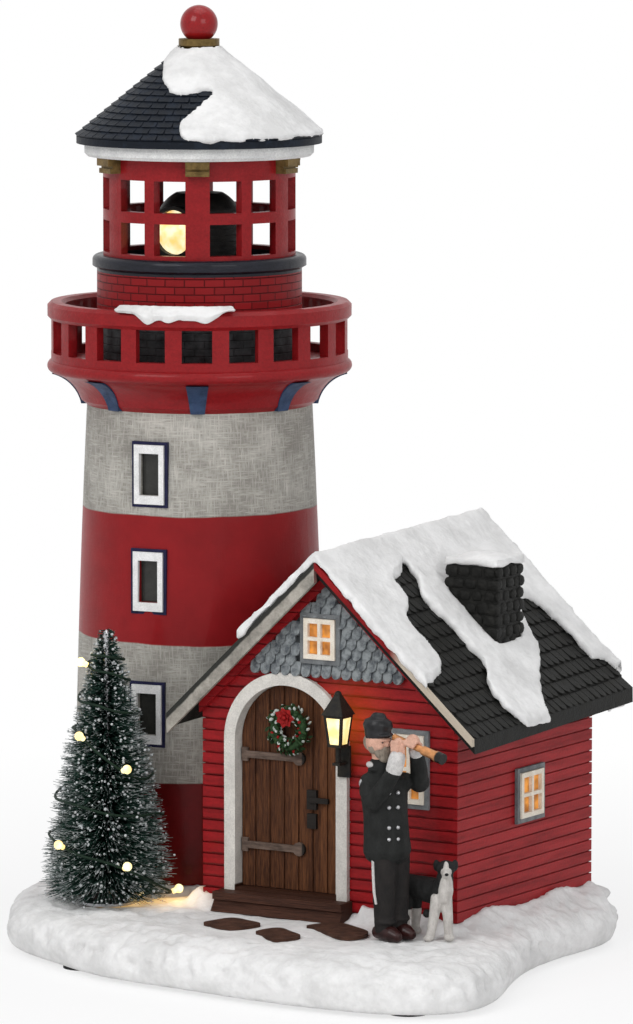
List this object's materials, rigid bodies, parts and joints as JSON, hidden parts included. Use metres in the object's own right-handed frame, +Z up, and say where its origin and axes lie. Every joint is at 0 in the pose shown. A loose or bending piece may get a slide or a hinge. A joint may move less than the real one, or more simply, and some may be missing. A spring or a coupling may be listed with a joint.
{
  "type": "lighthouse ornament",
  "caption": "Snowy lighthouse ornament with keeper's house, lit windows, turning beacon, figure with telescope, dog and brush tree on a hollow base with battery bay.",
  "frame": {"origin": "middle of the base's outline in plan, at the underside of its felt feet", "axes": "+Z up; +X to the right along the front of the house; +Y to the back, so the house door faces -Y"},
  "size_m": [0.2029, 0.1641, 0.29],
  "materials": {
    "base_shell": "matte snow glitter",
    "base_plate": "matte",
    "base_feet": "felt",
    "base_screws": "satin",
    "battery_box": "matte",
    "battery_cells": "satin",
    "battery_contacts": "satin",
    "battery_door": "matte",
    "switch_body": "matte",
    "switch_knob": "satin",
    "house_lamp_board": "satin",
    "lamp_lead": "satin",
    "tower_shell": "painted, satin",
    "tower_window_surrounds": "painted, matte",
    "tower_window_frames": "painted, matte",
    "tower_window_panes": "dark, unlit",
    "gallery_deck": "painted, matte",
    "gallery_brackets": "painted, matte",
    "gallery_rail": "painted, matte",
    "gallery_snow": "glitter",
    "lantern_plinth": "painted, matte",
    "lantern_sill": "painted, matte",
    "lantern_cage": "painted, matte",
    "lantern_capitals": "painted gold",
    "tower_roof_soffit": "painted, matte",
    "tower_roof": "painted, satin",
    "tower_roof_snow": "glitter",
    "finial_collar": "painted gold",
    "finial_ball": "painted, gloss",
    "beacon_deck": "matte",
    "beacon_motor": "satin",
    "motor_pinion": "satin",
    "beacon_wheel": "satin",
    "beacon_hood": "satin",
    "beacon_lens": "clear",
    "beacon_lamp_post": "lit",
    "house_walls": "painted, matte",
    "gable_shingles": "painted, matte",
    "window_surrounds": "painted, matte",
    "window_frames": "painted, matte",
    "window_panes": "lit amber",
    "door_surround": "painted, matte",
    "door_leaf": "painted, matte",
    "door_ironwork": "matte",
    "doorstep": "stone paint",
    "wreath": "painted, matte",
    "house_roof": "painted slate",
    "bargeboards": "painted, matte",
    "house_roof_snow": "glitter",
    "chimney": "painted cobbles",
    "wall_lamp": "satin",
    "wall_lamp_panes": "lit amber",
    "keeper_figure": "painted, matte",
    "keeper_telescope": "painted gold",
    "dog": "painted, matte",
    "stepping_stones": "painted",
    "tree_trunk": "twisted wire",
    "tree_bristles": "bristle",
    "tree_light_wire": "matte",
    "tree_lamps": "lit warm"
  },
  "bodies": {
    "ornament": {"base_shell": "base_shell", "base_plate": "base_plate", "base_feet": "base_feet", "base_screws": "base_screws", "battery_box": "battery_box", "battery_cells": "battery_cells", "battery_contacts": "battery_contacts", "switch_body": "switch_body", "house_lamp_board": "house_lamp_board", "lamp_lead": "lamp_lead", "tower_shell": "tower_shell", "tower_window_surrounds": "tower_window_surrounds", "tower_window_frames": "tower_window_frames", "tower_window_panes": "tower_window_panes", "gallery_deck": "gallery_deck", "gallery_brackets": "gallery_brackets", "gallery_rail": "gallery_rail", "gallery_snow": "gallery_snow", "lantern_plinth": "lantern_plinth", "lantern_sill": "lantern_sill", "lantern_cage": "lantern_cage", "lantern_capitals": "lantern_capitals", "tower_roof_soffit": "tower_roof_soffit", "tower_roof": "tower_roof", "tower_roof_snow": "tower_roof_snow", "finial_collar": "finial_collar", "finial_ball": "finial_ball", "beacon_deck": "beacon_deck", "beacon_motor": "beacon_motor", "beacon_lamp_post": "beacon_lamp_post", "house_walls": "house_walls", "gable_shingles": "gable_shingles", "window_surrounds": "window_surrounds", "window_frames": "window_frames", "window_panes": "window_panes", "door_surround": "door_surround", "door_leaf": "door_leaf", "door_ironwork": "door_ironwork", "doorstep": "doorstep", "wreath": "wreath", "house_roof": "house_roof", "bargeboards": "bargeboards", "house_roof_snow": "house_roof_snow", "chimney": "chimney", "wall_lamp": "wall_lamp", "wall_lamp_panes": "wall_lamp_panes", "keeper_figure": "keeper_figure", "keeper_telescope": "keeper_telescope", "dog": "dog", "stepping_stones": "stepping_stones", "tree_trunk": "tree_trunk", "tree_bristles": "tree_bristles", "tree_light_wire": "tree_light_wire", "tree_lamps": "tree_lamps"},
    "beacon": {"beacon_wheel": "beacon_wheel", "beacon_hood": "beacon_hood", "beacon_lens": "beacon_lens"},
    "pinion": {"motor_pinion": "motor_pinion"},
    "battery_door": {"battery_door": "battery_door"},
    "switch_knob": {"switch_knob": "switch_knob"}
  },
  "joints": [
    {"name": "beacon_turn", "type": "hinge", "parent": "ornament", "child": "beacon", "pos_m": [-0.053, 0.0334, 0.2058], "axis": [0, 0, 1], "continuous": true},
    {"name": "pinion_turn", "type": "hinge", "parent": "ornament", "child": "pinion", "pos_m": [-0.0338, 0.0334, 0.2058], "axis": [0, 0, 1], "continuous": true},
    {"name": "battery_door_slide", "type": "slide", "parent": "ornament", "child": "battery_door", "axis": [1, 0, 0], "range_m": [0, 0.012]},
    {"name": "switch_slide", "type": "slide", "parent": "ornament", "child": "switch_knob", "axis": [1, 0, 0], "range_m": [0, 0.003]}
  ],
  "couplings": [
    {"joint": "pinion_turn", "follows": "beacon_turn", "ratio": -3}
  ]
}
